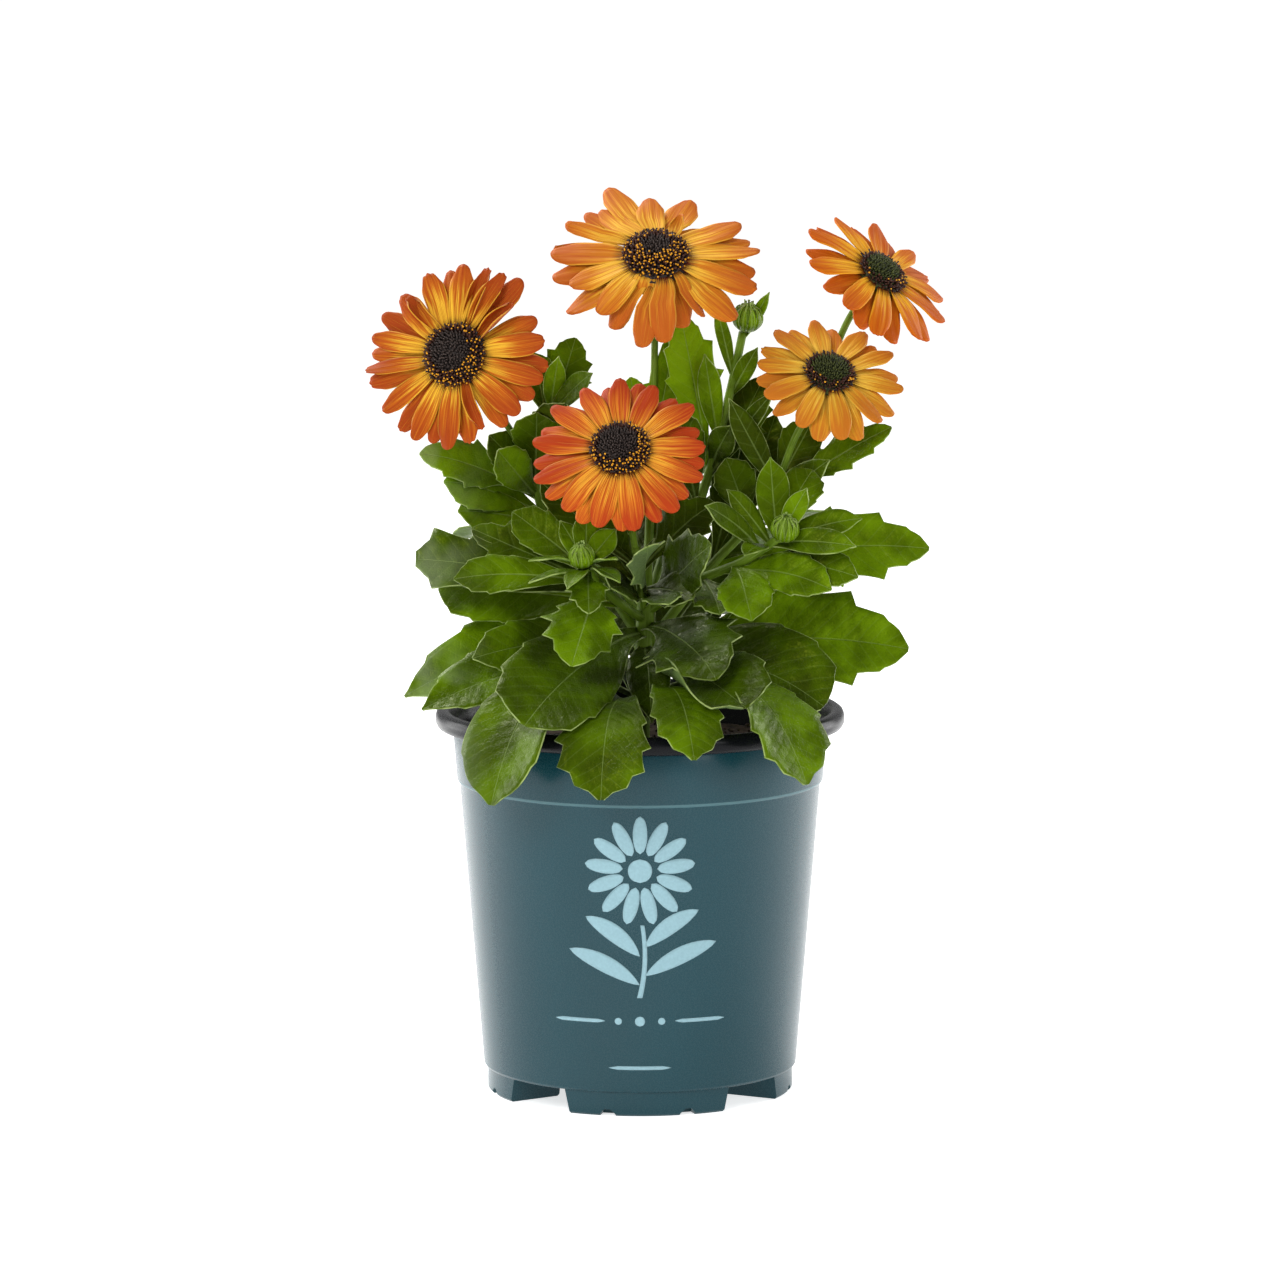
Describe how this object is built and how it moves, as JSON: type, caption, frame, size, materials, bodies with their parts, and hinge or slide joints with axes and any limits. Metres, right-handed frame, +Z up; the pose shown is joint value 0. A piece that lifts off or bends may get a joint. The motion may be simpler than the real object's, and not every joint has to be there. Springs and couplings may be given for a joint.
{
  "type": "potted osteospermum",
  "caption": "Flowering daisy-like bedding plant with toothed leaves, buds and open orange heads on stalks, rooted in potting mix in a round tapered plastic nursery pot with feet.",
  "frame": {"origin": "middle of the whole plant's box at ground level; the pot's axis stands at x = -6.8 mm, y = +2.3 mm because the heads reach further to one side", "axes": "+Z up along the pot's axis, -Y towards the side from which the flower heads are seen, +X to the viewer's right"},
  "size_m": [0.2422, 0.1981, 0.3792],
  "materials": {
    "pot": "blue-green moulded plastic, soft gloss, with a black rolled rim",
    "potting_mix": "dark crumbly peat and bark potting mix",
    "foliage": "slightly leathery green leaves, stems and buds with a soft sheen",
    "petals": "satin orange ray petals, yellow towards the middle",
    "disc": "dark purple-brown florets with yellow pollen"
  },
  "bodies": {
    "root": {"pot": "pot", "potting_mix": "potting_mix", "main_stem": "foliage", "front_left_shoot": "foliage", "front_right_shoot": "foliage", "centre_shoot": "foliage", "left_shoot": "foliage", "tall_shoot": "foliage", "bud_shoot": "foliage", "right_shoot": "foliage", "back_shoot": "foliage", "back_left_shoot": "foliage", "left_petals": "petals", "left_disc": "disc", "top_petals": "petals", "top_disc": "disc", "far_right_petals": "petals", "far_right_disc": "disc", "right_petals": "petals", "right_disc": "disc", "centre_petals": "petals", "centre_disc": "disc"}
  },
  "joints": []
}
